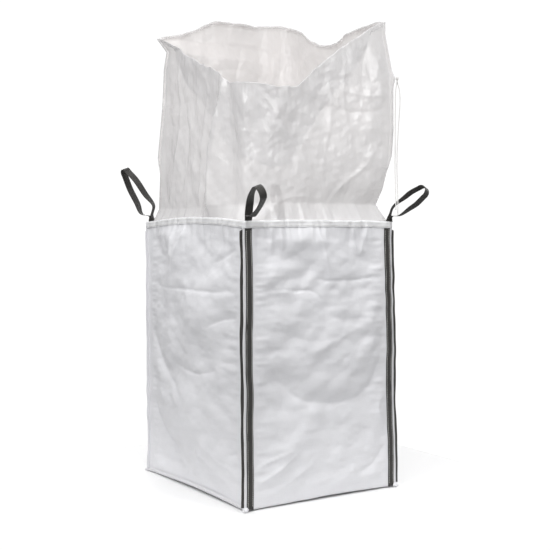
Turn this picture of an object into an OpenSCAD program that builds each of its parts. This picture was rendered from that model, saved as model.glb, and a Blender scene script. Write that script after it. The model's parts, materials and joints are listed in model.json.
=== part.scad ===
// Bulk bag with four corner lifting loops and a tall filling skirt, standing empty and open on its base.
// Millimetres, +Z up. The origin is the centre of the base, on the floor.
// The front corner is at -X -Y, the right corner at +X -Y, the back corner at +X +Y, the left one at -X +Y.

/* [Bag body] */
// Width of the body across the front face, along X
bag_w = 900; // [700:10:1100]
// Depth of the body across the side faces, along Y
bag_d = 1000; // [700:10:1200]
// Height of the body from the floor to the top of the hem
bag_h = 1390; // [800:10:1800]
// Thickness of a cloth panel
cloth_t = 3; // [2:0.5:4]
// Height of the hem band around the top
band_h = 34; // [26:2:50]
// Height of the seam lip that the floor turns up on each side panel
lip_h = 22; // [14:1:40]

/* [Webbing] */
// Width of the webbing
web_w = 42; // [35:1:50]
// Thickness of the webbing
web_t = 2.5; // [1.5:0.5:3]
// Height of a lifting loop from its hinge line to its tip
loop_h = 270; // [220:5:320]
// Width of a lifting loop across its eye, to the outside of the webbing
loop_span = 71; // [60:1:90]
// How far the panel hem stands out past the corner
hem_out = 12; // [8:1:16]
// How far the inner strap shows past the corner
inner_out = 24; // [18:1:30]

/* [Skirt] */
// Height of the skirt from the top of the hem to the mouth
skirt_h = 1080; // [600:10:1300]
// Thickness of the skirt film with its creases
film_t = 2; // [1:0.5:3]
// Corner radius of the skirt where it has no seam
skirt_r = 120; // [60:10:160]
// Height of the hem around the mouth
mouth_h = 30; // [20:5:50]
// Diameter of the tie cord
cord_d = 5; // [4:0.5:8]

/* [Hidden] */
$fn = 64;

// One row per corner: sign of X, sign of Y, heading of its loop seen from above, lean of the loop from upright
FRONT = [-1, -1, 252, 55];
RIGHT = [1, -1, 300, 57];
BACK = [1, 1, 70, 42];
LEFT = [-1, 1, 120, 30];

cloth_white = [0.90, 0.90, 0.93];
web_black = [0.10, 0.10, 0.11];
thread_white = [0.95, 0.94, 0.90];
film_grey = [0.85, 0.85, 0.88, 0.5];

half_w = bag_w / 2;
half_d = bag_d / 2;
band_z = bag_h - band_h;
fit_gap = 0.2;          // room between layers that are sewn together
band_t = 2.5;           // thickness of the hem band
strap_z = 6;            // lowest point of a corner strap
thread_t = 0.8;         // how far a line of stitches stands proud
thread_w = 2;           // width of a line of stitches

// Depths of the layers of a corner, measured outwards from the face of the front or back panel
outer_strap_y = [0, web_t];
inner_strap_y = [-cloth_t - web_t, -cloth_t];
side_hem_y = [-2 * cloth_t - web_t, -cloth_t - web_t];

// The loop turns on a line above the middle of the two sewn straps
hinge_y = (outer_strap_y[1] + inner_strap_y[0]) / 2;
hinge_x = -web_w / 2;
hinge_z = bag_h + 18;
loop_base = 8;          // radius at which the loop starts, so that it clears the sewn straps as it turns
stub_z = bag_h + 2;      // top of the sewn straps

// Skirt
skirt_w = bag_w - 2 * (cloth_t + 0.5);
skirt_d = bag_d - 2 * (cloth_t + web_t + 0.5);
skirt_z = bag_h - 30;   // lower edge, sewn inside the hem
pinch_z = bag_h + 310;  // below this the seam corners are drawn in as well
mouth_z = bag_h + skirt_h;
flange_w = 20;          // how far the skirt's two seams stand out
diagonal = norm([bag_w, bag_d]) / 2;
diagonal_angle = atan2(bag_d, bag_w);
tack_z = 2112;          // height of the middle of the tie tack

// Routes of the two tails of the tie cord: distance out along the right-hand diagonal, offset towards the back
// right-hand side, height
long_tail = [
    [693, -4, 2102], [694, -4, 2092], [698, -5, 2078], [703, -6, 2060], [706, -8, 2038], [708, -9, 2012],
    [708, -10, 1984], [707, -11, 1954], [705, -12, 1922], [703, -13, 1888], [701, -14, 1852], [699, -15, 1814],
    [697, -16, 1776], [696, -17, 1738], [696, -19, 1700], [696, -21, 1662], [697, -24, 1624], [699, -28, 1586],
    [701, -33, 1550], [703, -39, 1516], [705, -46, 1484], [706, -51, 1456], [706, -53, 1430], [706, -54, 1410]
];
short_tail = [
    [693, -11, 2102], [691, -11, 2088], [688, -11, 2068], [686, -11, 2044], [685, -11, 2016], [685, -11, 1986],
    [685, -11, 1954], [685, -11, 1920], [685, -11, 1884], [685, -11, 1846], [685, -11, 1808], [685, -12, 1770],
    [685, -13, 1732], [685, -16, 1694], [686, -20, 1656], [687, -25, 1620], [689, -31, 1584], [691, -38, 1550],
    [693, -45, 1518], [695, -51, 1488], [696, -55, 1460], [696, -57, 1440]
];

function unit(v) = v / norm(v);

// From distance along the right-hand diagonal, offset and height to X, Y, Z
function from_diagonal(p) = [
    p[0] * bag_w / 2 / diagonal + p[1] * bag_d / 2 / diagonal,
    -p[0] * bag_d / 2 / diagonal + p[1] * bag_w / 2 / diagonal,
    p[2]
];

// Direction of a route at point i
function heading_at(path, i) = unit(path[min(i + 1, len(path) - 1)] - path[max(i - 1, 0)]);

// Mirrors what is drawn at the +X +Y corner to the corner with these signs
module flip(sx, sy) {
    if (sx < 0 && sy < 0) rotate([0, 0, 180]) children();
    else if (sx < 0) mirror([1, 0, 0]) children();
    else if (sy < 0) mirror([0, 1, 0]) children();
    else children();
}

// Places what is drawn from the corner's own origin, with +X and +Y pointing out of the bag
module at_corner(corner) {
    flip(corner[0], corner[1]) translate([half_w, half_d, 0]) children();
}

module box(x, y, z) {
    translate([x[0], y[0], z[0]]) cube([x[1] - x[0], y[1] - y[0], z[1] - z[0]]);
}

// A strip in the plane of the front or back panel: an outline in X and Z, with depth y
module strip(outline, y) {
    translate([0, y[1], 0]) rotate([90, 0, 0]) linear_extrude(y[1] - y[0]) polygon(outline);
}

// Four rectangular bands around the bag, between two half sizes
module ring(inner_x, inner_y, t, z) {
    difference() {
        box([-inner_x - t, inner_x + t], [-inner_y - t, inner_y + t], z);
        box([-inner_x, inner_x], [-inner_y, inner_y], [z[0] - 1, z[1] + 1]);
    }
}

// ---- Body ----

// Front face, floor and back face in one length of cloth, with its hems at the corners and its turned-up lips
module u_panel() {
    color(cloth_white) union() {
        box([-half_w, half_w], [-half_d, half_d], [0, cloth_t]);
        for (side = [-1, 1]) {
            flip(1, side) {
                translate([0, half_d - cloth_t, 0]) box([-half_w, half_w], [0, cloth_t], [0, bag_h]);
                translate([0, half_d - cloth_t, 0])
                    box([-half_w - hem_out, half_w + hem_out], [0, cloth_t], [0, band_z - 4]);
                // the top edge is folded outwards between the straps
                box([-half_w + web_w + 4, half_w - web_w - 4], [half_d - 1, half_d + web_t], [band_z, bag_h - 1]);
            }
            flip(side, 1) {
                box([half_w - 1, half_w + 2 * cloth_t], [-half_d, half_d], [0, cloth_t]);
                box([half_w + cloth_t, half_w + 2 * cloth_t], [-half_d + 6, half_d - 6], [0, lip_h]);
            }
        }
    }
}

// One side face, with hems that lie behind the front and back panels' hems
module side_panel(side) {
    hem = side_hem_y;
    color(cloth_white) flip(side, 1) union() {
        box([half_w - cloth_t, half_w], [-half_d - hem[0], half_d + hem[0]], [cloth_t, bag_h - 0.5]);
        box([half_w - 1, half_w + cloth_t], [-half_d + 20, half_d - 20], [cloth_t, lip_h]);
        for (end = [-1, 1])
            flip(1, end) box([half_w - cloth_t, half_w + inner_out - 6],
                [half_d + hem[0], half_d + hem[1]], [lip_h + 2, band_z - 4]);
        for (end = [-1, 1])
            flip(1, end) box([half_w - cloth_t, half_w], [half_d + hem[0], half_d + hem[1]],
                [cloth_t, bag_h - 0.5]);
    }
}

// A band of cloth sewn around the top, over the corner straps
module top_hem_band() {
    color(cloth_white)
        ring(half_w + fit_gap, half_d + web_t + fit_gap, band_t, [band_z, bag_h]);
}

// ---- Webbing ----

// The leg of the strap that lies on the outside of the front or back panel
module corner_strap_outer(corner) {
    color(web_black) at_corner(corner) box([-web_w, 0], outer_strap_y, [strap_z, stub_z]);
}

// The leg that lies between the hems, shows past them, and steps in below the hem band
module corner_strap_inner(corner) {
    low = inner_out - web_w;
    step = [band_z - 66, band_z - 6];
    color(web_black) at_corner(corner) strip([
        [low, lip_h + 2], [inner_out, lip_h + 2], [inner_out, step[0]], [0, step[1]], [0, stub_z],
        [-web_w, stub_z], [-web_w, step[1]], [low, step[0]]
    ], inner_strap_y);
}

// Outline of a loop, or of its eye: a circle with two tangents that meet at a point below it
module teardrop(r, centre, base, slope) {
    half_angle = slope;
    reach = r / sin(half_angle);
    touch = [r * cos(half_angle), centre - r * sin(half_angle)];
    foot = (base - (centre - reach)) * tan(half_angle);
    translate([0, centre]) circle(r, $fn = 96);
    polygon([[-foot, base], [foot, base], touch, [-touch[0], touch[1]]]);
}

// A lifting loop: one bend of webbing with both ends together at its hinge line
module lifting_loop(corner) {
    r = loop_span / 2;
    centre = loop_h - r;
    slope = asin(r / (centre + 12));
    color(web_black) flip(corner[0], corner[1])
        translate([half_w + hinge_x, half_d + hinge_y, hinge_z])
        flip(corner[0], corner[1])
        rotate([0, 0, corner[2]]) rotate([0, corner[3], 0]) rotate([90, 0, 0])
        linear_extrude(web_w, center = true) difference() {
            teardrop(r, centre, loop_base, slope);
            teardrop(r - web_t, centre, loop_base - 1, slope);
        }
}

// ---- Stitching ----

// Two lines of stitches along the outer leg, and one through the hems beside it
module strap_stitching(corner) {
    color(thread_white) at_corner(corner) {
        for (x = [-web_w + 5, -7])
            box([x, x + thread_w], [web_t, web_t + thread_t], [strap_z + 4, band_z - 4]);
        box([5, 5 + thread_w], [0, thread_t], [lip_h + 8, band_z - 8]);
    }
}

// Two lines of stitches around the hem band
module hem_stitching() {
    color(thread_white)
        for (z = [band_z + 7, bag_h - 9])
            ring(half_w + fit_gap + band_t, half_d + web_t + fit_gap + band_t, thread_t, [z, z + thread_w]);
}

// A line of stitches along each of the two lips at the base
module base_seam_stitching() {
    color(thread_white) for (side = [-1, 1])
        flip(side, 1) box([half_w + 2 * cloth_t, half_w + 2 * cloth_t + thread_t],
            [-half_d + 16, half_d - 16], [lip_h - 8, lip_h - 8 + thread_w]);
}

// ---- Skirt ----

// A rectangle with round front and back corners, and seam corners of their own radius
module skirt_outline(grow, seam_r) {
    w = skirt_w / 2 + grow;
    d = skirt_d / 2 + grow;
    difference() {
        square([2 * w, 2 * d], center = true);
        for (c = [[-1, -1, skirt_r], [1, 1, skirt_r], [1, -1, seam_r], [-1, 1, seam_r]]) {
            r = c[2] + grow;
            difference() {
                translate([c[0] * w, c[1] * d]) square(2 * r, center = true);
                translate([c[0] * (w - r), c[1] * (d - r)]) circle(r);
            }
        }
    }
}

module skirt_wall(seam_r) {
    difference() {
        skirt_outline(0, seam_r);
        skirt_outline(-film_t, seam_r);
    }
}

// Both seam flanges of the skirt, on the diagonal from the left to the right corner
module flanges() {
    rotate(-diagonal_angle) for (end = [-1, 1])
        translate([end * (diagonal - 14 + flange_w / 2), 0])
            square([flange_w + 20, 2 * film_t], center = true);
}

// The side of the diagonal towards the front corner is -1, towards the back corner it is 1
module half_plane(side) {
    polygon([[2 * bag_w, -2 * bag_d], [-2 * bag_w, 2 * bag_d], side * [2 * bag_w, 2 * bag_d]]);
}

module skirt_half(side) {
    top = mouth_z - mouth_h;
    color(film_grey) union() {
        translate([0, 0, skirt_z]) linear_extrude(pinch_z + 20 - skirt_z)
            intersection() {
                skirt_wall(skirt_r);
                half_plane(side);
            }
        translate([0, 0, pinch_z]) linear_extrude(top - pinch_z)
            intersection() {
                union() {
                    skirt_wall(12);
                    flanges();
                }
                half_plane(side);
            }
    }
}

// The mouth's edge, folded over and sewn: it travels when the skirt is let down
module skirt_mouth_hem() {
    color(film_grey) translate([0, 0, mouth_z - mouth_h]) linear_extrude(mouth_h) difference() {
        skirt_outline(0, 12);
        skirt_outline(-2 * film_t, 12);
    }
}

// One line of stitches down each seam flange
module skirt_seam_stitching() {
    color(thread_white) rotate([0, 0, -diagonal_angle]) for (end = [-1, 1])
        translate([end * (diagonal + 3) - thread_w / 2, -film_t - thread_t, pinch_z + 4])
            cube([thread_w, thread_t, mouth_z - mouth_h - pinch_z - 8]);
}

// The folded patch that holds the middle of the tie cord on the right-hand seam
module skirt_tie_tack() {
    out = diagonal - 14 + flange_w + 10;
    color(thread_white) rotate([0, 0, -diagonal_angle])
        translate([out, -14, tack_z - 10]) cube([7, 16, 20]);
}

// A round cord swept along a route, as one closed polyhedron
module swept_cord(path, d) {
    sides = 8;
    n = len(path);
    rings = [for (i = [0:n - 1]) let (
            t = heading_at(path, i),
            u = unit(cross(t, [0, 1, 0])),
            v = cross(t, u)
        ) for (k = [0:sides - 1]) path[i] + d / 2 * (cos(360 * k / sides) * u + sin(360 * k / sides) * v)];
    walls = [for (i = [0:n - 2]) for (k = [0:sides - 1]) let (m = (k + 1) % sides)
        [i * sides + k, i * sides + m, (i + 1) * sides + m, (i + 1) * sides + k]];
    caps = [[for (k = [0:sides - 1]) sides - 1 - k], [for (k = [0:sides - 1]) (n - 1) * sides + k]];
    polyhedron(rings, concat(walls, caps), convexity = 6);
}

module skirt_tie_cord(tail) {
    color(thread_white) swept_cord([for (p = tail) from_diagonal(p)], cord_d);
}

u_panel();
side_panel(-1);  // side_panel_left
side_panel(1);  // side_panel_right
top_hem_band();
corner_strap_outer(FRONT);  // corner_strap_front_outer
corner_strap_outer(RIGHT);  // corner_strap_right_outer
corner_strap_outer(BACK);  // corner_strap_back_outer
corner_strap_outer(LEFT);  // corner_strap_left_outer
corner_strap_inner(FRONT);  // corner_strap_front_inner
corner_strap_inner(RIGHT);  // corner_strap_right_inner
corner_strap_inner(BACK);  // corner_strap_back_inner
corner_strap_inner(LEFT);  // corner_strap_left_inner
lifting_loop(FRONT);  // lifting_loop_front
lifting_loop(RIGHT);  // lifting_loop_right
lifting_loop(BACK);  // lifting_loop_back
lifting_loop(LEFT);  // lifting_loop_left
strap_stitching(FRONT);  // strap_stitching_front
strap_stitching(RIGHT);  // strap_stitching_right
strap_stitching(BACK);  // strap_stitching_back
strap_stitching(LEFT);  // strap_stitching_left
hem_stitching();
base_seam_stitching();
skirt_half(-1);  // skirt_front_half
skirt_half(1);  // skirt_back_half
skirt_seam_stitching();
skirt_mouth_hem();
skirt_tie_tack();
skirt_tie_cord(long_tail);  // skirt_tie_cord_long
skirt_tie_cord(short_tail);  // skirt_tie_cord_short
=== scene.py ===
"""Looks of the bulk bag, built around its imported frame. Metres, +Z up, in the part's own frame.

The front corner of the bag is at -X -Y, the right one at +X -Y, the back one at +X +Y, the left one at -X +Y.
"""
import json
import math

import bpy
import numpy as np
from mathutils import Matrix, Vector


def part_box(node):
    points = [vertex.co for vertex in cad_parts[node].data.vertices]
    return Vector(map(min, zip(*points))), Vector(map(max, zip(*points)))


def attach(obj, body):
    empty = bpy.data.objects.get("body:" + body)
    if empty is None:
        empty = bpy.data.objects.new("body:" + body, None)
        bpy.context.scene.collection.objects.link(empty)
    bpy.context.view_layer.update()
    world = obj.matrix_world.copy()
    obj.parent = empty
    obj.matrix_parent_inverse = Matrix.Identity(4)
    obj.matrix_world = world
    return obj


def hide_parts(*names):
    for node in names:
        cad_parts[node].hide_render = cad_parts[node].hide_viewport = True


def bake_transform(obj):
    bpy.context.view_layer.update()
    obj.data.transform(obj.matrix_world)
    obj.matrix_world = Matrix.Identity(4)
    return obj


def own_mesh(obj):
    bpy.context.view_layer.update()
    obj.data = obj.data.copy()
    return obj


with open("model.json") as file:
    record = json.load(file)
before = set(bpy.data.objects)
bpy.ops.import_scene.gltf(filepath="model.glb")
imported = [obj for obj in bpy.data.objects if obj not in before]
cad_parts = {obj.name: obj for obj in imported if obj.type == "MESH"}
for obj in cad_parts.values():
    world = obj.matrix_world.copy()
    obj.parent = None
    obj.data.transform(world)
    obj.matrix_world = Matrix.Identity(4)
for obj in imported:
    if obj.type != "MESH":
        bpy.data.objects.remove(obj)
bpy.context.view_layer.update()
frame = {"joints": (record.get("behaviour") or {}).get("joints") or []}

# ---- Sizes, all from the frame ----

strap_low, strap_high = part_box("corner_strap_back_outer")
HALF_W, HALF_D = strap_high.x, strap_low.y
WEB_W = strap_high.x - strap_low.x
STRAP_Z = strap_low.z
BAND_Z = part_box("top_hem_band")[0].z
BAG_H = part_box("top_hem_band")[1].z
MOUTH_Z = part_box("skirt_mouth_hem")[1].z
HEM_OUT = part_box("u_panel")[1].x - HALF_W
SIDE_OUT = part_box("side_panel_right")[1].x - HALF_W
INNER_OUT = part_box("corner_strap_back_inner")[1].x - HALF_W
LIP_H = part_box("base_seam_stitching")[1].z + 0.006      # the lip ends a little above its stitches
DIAGONAL = math.hypot(HALF_W, HALF_D)

CLOTH_T = 0.001         # woven cloth
WEB_T = 0.0021          # webbing
WEBBING_W = WEB_W - 0.004      # the webbing itself, a little narrower than the space it has
FILM_T = 0.0006         # film with its fine creases
CELL = 0.0075           # size of a mesh cell on a panel
HEM_BEHIND = 0.0048     # the side panels' hems lie this far behind the outer face of the U panel
ROW = 0.012             # distance between the rows of points along a strap or a line of stitches
LAYER_GAP = 0.0003      # air between layers that are sewn together
GROUND = 0.001          # the floor of the bag lies this high, so that it stays out of the studio floor

# Corner: signs of X and Y
CORNERS = {"front": (-1, -1), "right": (1, -1), "back": (1, 1), "left": (-1, 1)}
# Face: its corners, left to right seen from outside, and the way it faces
FACES = {
    "front": ("front", "right", (0, -1)),
    "right": ("right", "back", (1, 0)),
    "back": ("back", "left", (0, 1)),
    "left": ("left", "front", (-1, 0)),
}


# ---- Number helpers ----

def soft_step(a, b, x):
    """From 0 at a to 1 at b, level at both ends."""
    t = np.clip((np.asarray(x, float) - a) / (b - a), 0, 1)
    return t * t * (3 - 2 * t)


def smooth_noise(u, v, seed):
    """A smooth random field from about -1 to 1, with one cell per unit."""
    table = np.random.RandomState(seed).uniform(-1, 1, (128, 128))
    u, v = np.broadcast_arrays(np.asarray(u, float), np.asarray(v, float))
    iu, iv = np.floor(u).astype(int), np.floor(v).astype(int)
    fu, fv = u - iu, v - iv
    fu, fv = fu * fu * (3 - 2 * fu), fv * fv * (3 - 2 * fv)

    def at(i, j):
        return table[i % 128, j % 128]

    low = at(iu, iv) * (1 - fu) + at(iu + 1, iv) * fu
    high = at(iu, iv + 1) * (1 - fu) + at(iu + 1, iv + 1) * fu
    return low * (1 - fv) + high * fv


def layered_noise(u, v, cell, seed, layers=3):
    """Smooth noise with cells of the given size in metres, and finer, weaker layers on it."""
    total = 0.0
    for i in range(layers):
        total = total + smooth_noise(u / cell * 2 ** i, v / cell * 2 ** i, seed + i) / 2 ** i
    return total


def crumple(u, v, cell, seed, count=9):
    """Flat facets that meet in sharp creases, as in film that was screwed up: from about -1 to 1."""
    random = np.random.RandomState(seed)
    warp_u = u + 0.35 * cell * layered_noise(u, v, 2.5 * cell, seed + 50, 2)
    warp_v = v + 0.35 * cell * layered_noise(u, v, 2.5 * cell, seed + 60, 2)
    total = 0.0
    for _ in range(count):
        angle, phase = random.uniform(0, math.pi), random.uniform(0, 1)
        length = cell * random.uniform(0.7, 2.6)
        across = (warp_u * math.cos(angle) + warp_v * math.sin(angle)) / length + phase
        total = total + (np.abs(across % 1 - 0.5) * 4 - 1) * length / cell
    return total / count


def smooth_route(points, steps=8):
    """More points on a smooth curve through the given ones."""
    p = np.array(points, float)
    p = np.vstack([2 * p[0] - p[1], p, 2 * p[-1] - p[-2]])
    t = np.linspace(0, 1, steps, endpoint=False)[:, None]
    parts = [
        0.5 * (2 * b + (c - a) * t + (2 * a - 5 * b + 4 * c - d) * t ** 2 + (3 * b - a - 3 * c + d) * t ** 3)
        for a, b, c, d in zip(p, p[1:], p[2:], p[3:])
    ]
    return np.vstack(parts + [p[-2:-1]])


def crease(u, v, route, width, height, tilt=0.0):
    """A fold along a route: a kinked ridge, or a valley where height is negative, which fades at its ends.
    tilt raises the side on the right of the route and lowers the other."""
    line = smooth_route(route)
    best = np.full(np.shape(u), 1e9)
    along = np.zeros(np.shape(u))
    side = np.zeros(np.shape(u))
    for i, (a, b) in enumerate(zip(line, line[1:])):
        d = b - a
        t = np.clip(((u - a[0]) * d[0] + (v - a[1]) * d[1]) / max(d @ d, 1e-12), 0, 1)
        x, y = u - a[0] - d[0] * t, v - a[1] - d[1] * t
        distance = np.hypot(x, y)
        closer = distance < best
        best = np.where(closer, distance, best)
        along = np.where(closer, (i + t) / (len(line) - 1), along)
        side = np.where(closer, x * d[1] - y * d[0], side)
    fade = np.sin(np.pi * np.clip(along, 0.02, 0.98)) ** 0.6
    profile = np.exp(-np.hypot(best, 0.12 * width) / width)
    return fade * profile * (height + tilt * np.tanh(side / (np.abs(side).max() + 1e-9) * 400))


def run_along(line):
    """Distance along a line of points, at each of them."""
    return np.concatenate([[0], np.cumsum(np.linalg.norm(np.diff(line, axis=0), axis=1))])


def between(table, x):
    """Reads a table of (place, value) pairs at x."""
    places, values = zip(*table)
    return np.interp(x, places, values)


# ---- Mesh helpers ----

def new_object(name, verts, faces, material, uv=None, smooth=True):
    mesh = bpy.data.meshes.new(name)
    mesh.from_pydata(np.asarray(verts, float).reshape(-1, 3).tolist(), [], faces)
    if uv is not None:
        layer = mesh.uv_layers.new(name="metres")
        layer.data.foreach_set("uv", np.asarray(uv, np.float32).ravel())
    mesh.polygons.foreach_set("use_smooth", [smooth] * len(mesh.polygons))
    mesh.materials.append(material)
    mesh.update()
    made = bpy.data.objects.new(name, mesh)
    bpy.context.scene.collection.objects.link(made)
    return made


def grid_faces(rows, cols, wrap=False):
    """Quads of a grid whose point (i, j) is number i * cols + j, and the (i, j) of their corners."""
    i, j = np.meshgrid(np.arange(rows - 1), np.arange(cols if wrap else cols - 1), indexing="ij")
    corners = np.stack([np.stack([i, j], -1), np.stack([i, j + 1], -1),
                        np.stack([i + 1, j + 1], -1), np.stack([i + 1, j], -1)], -2).reshape(-1, 4, 2)
    return (corners[..., 0] * cols + corners[..., 1] % cols), corners


def sheet_mesh(name, points, uv, material, thickness=0.0, wrap=False):
    """A sheet from a grid of points. uv has one more column than points where the sheet wraps round."""
    rows, cols = points.shape[:2]
    faces, corners = grid_faces(rows, cols, wrap)
    made = new_object(name, points, faces.tolist(), material, uv[corners[..., 0], corners[..., 1]])
    if thickness:
        solid = made.modifiers.new("thickness", "SOLIDIFY")
        solid.thickness = thickness
        solid.offset = 0
    return made


def sheet_uv(across, along):
    """Places on a sheet in metres, from those of its columns and of its rows."""
    return np.stack(np.broadcast_arrays(across[None, :], along[:, None]), -1)


def swept_mesh(name, centre, across, out, section, material):
    """A closed bar along centre. section is a ring of (across, out) offsets."""
    section = np.array(section, float)
    count, sides = len(centre), len(section)
    ring = centre[:, None] + across[:, None] * section[None, :, :1] + out[:, None] * section[None, :, 1:]
    faces, corners = grid_faces(count, sides, wrap=True)
    run = run_along(centre)
    girth = np.concatenate([section[:, 0], section[:1, 0]])
    uv = np.stack([girth[corners[..., 1]], run[corners[..., 0]]], -1)
    caps = [list(range(sides)), [(count - 1) * sides + k for k in range(sides - 1, -1, -1)]]
    cap_uv = [[section[k, 0], run[0]] for k in range(sides)]
    cap_uv += [[section[k, 0], run[-1]] for k in range(sides - 1, -1, -1)]
    faces = [f[::-1] for f in faces.tolist()]
    uv = np.concatenate([uv[:, ::-1].reshape(-1, 2), np.array(cap_uv)])
    return new_object(name, ring, faces + caps, material, uv)


def flat_section(width, thickness):
    """Ring of a woven strap: flat, with rounded edges."""
    a, b = width / 2, thickness / 2
    steps = [-1, -0.5, 0, 0.5, 1]
    top = [(a * 0.94 * s, b) for s in steps]
    half_ring = top + [(a, b * 0.4)]
    return half_ring + [(a, -b * 0.4)] + [(x, -y) for x, y in reversed(top)] + [(-a, -b * 0.4), (-a, b * 0.4)]


def round_section(diameter, sides=8):
    turn = np.linspace(0, 2 * math.pi, sides, endpoint=False)
    return np.stack([np.cos(turn), np.sin(turn)], 1) * diameter / 2


def unit(v):
    return v / np.maximum(np.linalg.norm(v, axis=-1, keepdims=True), 1e-12)


def directions(line):
    """Unit tangents of a line of points."""
    return unit(np.gradient(line, axis=0))


def on_line(values, run, place):
    """The values along a line, read at one distance along it. run holds the distance at each value."""
    return np.array([np.interp(place, run, values[:, k]) for k in range(3)])


def stitches(name, routes, material, length=0.0065, gap=0.0025, thick=0.0011):
    """Stitches along routes, each a short, full bar with tucked-in ends. A route is (points, outward)."""
    sides = 6
    turn = np.linspace(0, 2 * math.pi, sides, endpoint=False)
    rings = [(-0.5, 0.35), (-0.3, 1.0), (0.3, 1.0), (0.5, 0.35)]
    last = (len(rings) - 1) * sides
    template = np.array([(x * length, math.cos(a) * thick * s, math.sin(a) * thick * s * 0.7)
                         for x, s in rings for a in turn])
    base = [f[::-1] for f in grid_faces(len(rings), sides, wrap=True)[0].tolist()]
    base += [list(range(sides)), [last + k for k in range(sides - 1, -1, -1)]]
    verts, faces = [], []
    for points, outward in routes:
        points, outward = np.asarray(points, float), np.asarray(outward, float)
        run = run_along(points)
        for place in np.arange(length, run[-1] - length / 2, length + gap):
            before, after = on_line(points, run, place - 0.002), on_line(points, run, place + 0.002)
            out = unit(on_line(outward, run, place))
            x_axis = unit(after - before)
            z_axis = unit(out - (out @ x_axis) * x_axis)
            y_axis = np.cross(z_axis, x_axis)
            faces += [[k + len(verts) * len(template) for k in f] for f in base]
            verts.append((before + after) / 2 + template @ np.stack([x_axis, y_axis, z_axis]))
    return new_object(name, np.array(verts), faces, material)


# ---- Materials ----

class Nodes:
    """A new material's node tree, with short forms for what is used again and again."""

    def __init__(self, name, **settings):
        self.material = bpy.data.materials.new(name)
        self.material.use_nodes = True
        self.tree = self.material.node_tree
        self.shader = self.tree.nodes["Principled BSDF"]
        for key, value in settings.items():
            self.shader.inputs[key.replace("_", " ")].default_value = value

    def node(self, kind, **settings):
        made = self.tree.nodes.new("ShaderNode" + kind)
        for key, value in settings.items():
            setattr(made, key, value)
        return made

    def link(self, source, target):
        self.tree.links.new(source, target)

    def put(self, target, value):
        if isinstance(value, (int, float)):
            target.default_value = value
        else:
            self.link(value, target)

    def math(self, operation, a, b=0.0, c=0.0):
        made = self.node("Math", operation=operation)
        for target, value in zip(made.inputs, (a, b, c)):
            self.put(target, value)
        return made.outputs[0]

    def plus(self, a, b):
        return self.math("ADD", a, b)

    def times(self, a, b):
        return self.math("MULTIPLY", a, b)

    def metres(self):
        """Places on the sheet, in metres, as (across, along)."""
        split = self.node("SeparateXYZ")
        self.link(self.node("UVMap", uv_map="metres").outputs[0], split.inputs[0])
        return split.outputs[0], split.outputs[1]

    def noise(self, scale, detail=2.0, stretch=(1, 1, 1), roughness=0.5, kind="FBM"):
        place = self.node("Mapping")
        place.inputs["Scale"].default_value = stretch
        self.link(self.node("TexCoord").outputs["Object"], place.inputs[0])
        made = self.node("TexNoise", noise_type=kind)
        made.inputs["Scale"].default_value = scale
        made.inputs["Detail"].default_value = detail
        made.inputs["Roughness"].default_value = roughness
        self.link(place.outputs[0], made.inputs["Vector"])
        return made.outputs["Fac"]

    def colour(self, low, high, factor):
        made = self.node("Mix", data_type="RGBA")
        self.put(made.inputs[0], factor)
        made.inputs[6].default_value = (*low, 1)
        made.inputs[7].default_value = (*high, 1)
        return made.outputs[2]

    def bump(self, height, distance, strength=1.0, under=None):
        made = self.node("Bump")
        made.inputs["Distance"].default_value = distance
        made.inputs["Strength"].default_value = strength
        self.link(height, made.inputs["Height"])
        if under is not None:
            self.link(under, made.inputs["Normal"])
        return made.outputs[0]

    def finish(self, colour=None, normal=None):
        if colour is not None:
            self.link(colour, self.shader.inputs["Base Color"])
        if normal is not None:
            self.link(normal, self.shader.inputs["Normal"])
        return self.material


def weave(nodes, pitch):
    """Height and over-under pattern of a plain weave of flat tapes."""
    across, along = nodes.metres()
    u, v = nodes.math("DIVIDE", across, pitch), nodes.math("DIVIDE", along, pitch)
    waves = [nodes.math("SINE", nodes.times(x, math.pi)) for x in (u, v)]
    crown = [nodes.math("POWER", nodes.math("ABSOLUTE", wave), 0.35) for wave in waves]
    over = nodes.math("MODULO", nodes.plus(nodes.math("FLOOR", u), nodes.math("FLOOR", v)), 2.0)
    over = nodes.math("ABSOLUTE", over)
    under = nodes.math("SUBTRACT", 1.0, over)
    return nodes.plus(nodes.times(crown[0], over), nodes.times(crown[1], under)), over


def cloth_material(name, dark, light):
    """White polypropylene cloth of flat tapes, with tapes that differ a little and faint handling marks."""
    nodes = Nodes(name, Roughness=0.52, Specular_IOR_Level=0.35, Sheen_Weight=0.12, Sheen_Roughness=0.5)
    height, over = weave(nodes, 0.0024)
    tapes = nodes.plus(nodes.noise(26, 3, (1, 1, 14)), nodes.noise(26, 3, (14, 14, 1)))
    marks = nodes.noise(4.5, 5, roughness=0.65)
    shade = nodes.plus(nodes.times(tapes, 0.5), nodes.times(marks, 0.25))
    colour = nodes.colour(dark, light, nodes.plus(shade, nodes.times(over, 0.1)))
    normal = nodes.bump(nodes.noise(38, 4, roughness=0.6), 0.0022, 0.5)
    normal = nodes.bump(nodes.noise(150, 3, (1, 1, 0.4)), 0.0007, 0.4, normal)
    return nodes.finish(colour, nodes.bump(height, 0.0003, 0.5, normal))


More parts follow.
